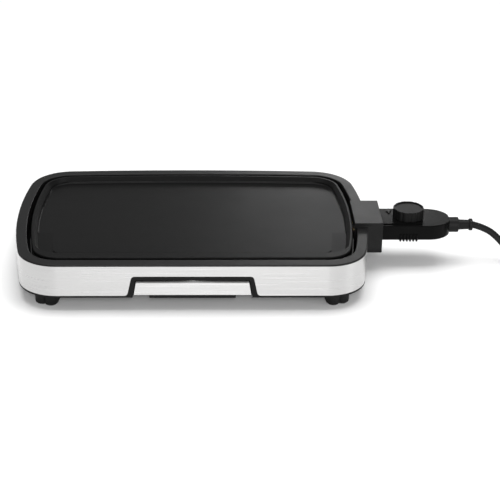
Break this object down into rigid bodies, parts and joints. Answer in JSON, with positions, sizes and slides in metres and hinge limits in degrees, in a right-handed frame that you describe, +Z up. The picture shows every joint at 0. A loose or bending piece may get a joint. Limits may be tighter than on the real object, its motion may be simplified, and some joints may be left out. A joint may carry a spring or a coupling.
{
  "type": "electric griddle",
  "caption": "Low rectangular electric griddle: coated plate in a black frame with a steel band, pull-out drip tray and plug-in thermostat controller with cord.",
  "frame": {"origin": "middle of the body's footprint, on the surface that the feet stand on", "axes": "+X to the controller and cord, along the longest side; +Y to the back; +Z up"},
  "size_m": [0.784, 0.2969, 0.074],
  "materials": {
    "frame_black": "satin",
    "brushed_band": "brushed",
    "cover_black": "matte",
    "foot_black": "matte",
    "foot_rubber": "matte",
    "plate_coating": "non-stick coating",
    "element_steel": "matte",
    "sheet_steel": "zinc plated",
    "shield_aluminium": "mill",
    "ceramic_white": "matte",
    "contact_brass": "satin",
    "probe_steel": "satin",
    "tray_black": "matte",
    "handle_steel": "brushed",
    "controller_black": "satin",
    "knob_black": "satin",
    "inner_plastic": "matte",
    "lens_grey": "gloss",
    "lamp_glass": "clear",
    "relief_rubber": "matte",
    "cord_black": "matte",
    "wire_insulation": "matte",
    "plug_black": "matte"
  },
  "bodies": {
    "base": {"base_frame": "frame_black", "bottom_cover": "cover_black", "cap_screws": "sheet_steel", "clamp_screws": "sheet_steel", "cooking_plate": "plate_coating", "cover_screws": "sheet_steel", "earth_blade": "contact_brass", "element_clamps": "sheet_steel", "foot_front_left": "foot_black", "foot_front_right": "foot_black", "foot_pad_front_left": "foot_rubber", "foot_pad_front_right": "foot_rubber", "foot_pad_rear_left": "foot_rubber", "foot_pad_rear_right": "foot_rubber", "foot_rear_left": "foot_black", "foot_rear_right": "foot_black", "foot_screws": "sheet_steel", "heat_shield": "shield_aluminium", "heating_element": "element_steel", "plate_screws": "sheet_steel", "plate_standoffs": "sheet_steel", "probe_bush": "probe_steel", "socket_cap": "cover_black", "socket_insulator": "ceramic_white", "steel_band": "brushed_band", "terminal_pin_live": "contact_brass", "terminal_pin_neutral": "contact_brass", "tray_rail_left": "cover_black", "tray_rail_right": "cover_black"},
    "tray": {"drip_tray": "tray_black", "tray_handle": "handle_steel"},
    "controller": {"controller_upper": "controller_black", "controller_lower": "controller_black", "contact_carrier": "inner_plastic", "contact_live": "contact_brass", "contact_neutral": "contact_brass", "earth_spring": "contact_brass", "probe_rod": "probe_steel", "pilot_lens": "lens_grey", "pilot_lamp": "lamp_glass", "thermostat_switch": "inner_plastic", "strain_collar": "relief_rubber", "strain_relief": "relief_rubber", "cord_clamp": "inner_plastic", "inner_cable": "cord_black", "inner_wires": "wire_insulation", "controller_screws": "sheet_steel", "cord_lead": "cord_black", "cord_coil": "cord_black", "cord_tail": "cord_black", "plug_body": "plug_black", "plug_pin_left": "contact_brass", "plug_pin_right": "contact_brass", "plug_earth_clips": "contact_brass"},
    "knob": {"knob": "knob_black", "knob_spindle": "knob_black"}
  },
  "joints": [
    {"name": "drip_tray_slide", "type": "slide", "parent": "base", "child": "tray", "axis": [0, -1, 0], "range_m": [0, 0.1]},
    {"name": "thermostat_unplug", "type": "slide", "parent": "base", "child": "controller", "axis": [1, 0, 0], "range_m": [0, 0.06]},
    {"name": "temperature_knob_turn", "type": "hinge", "parent": "controller", "child": "knob", "pos_m": [0.28, -0.004, 0.067], "axis": [0, 0, 1], "range_deg": [-270, 0]}
  ]
}
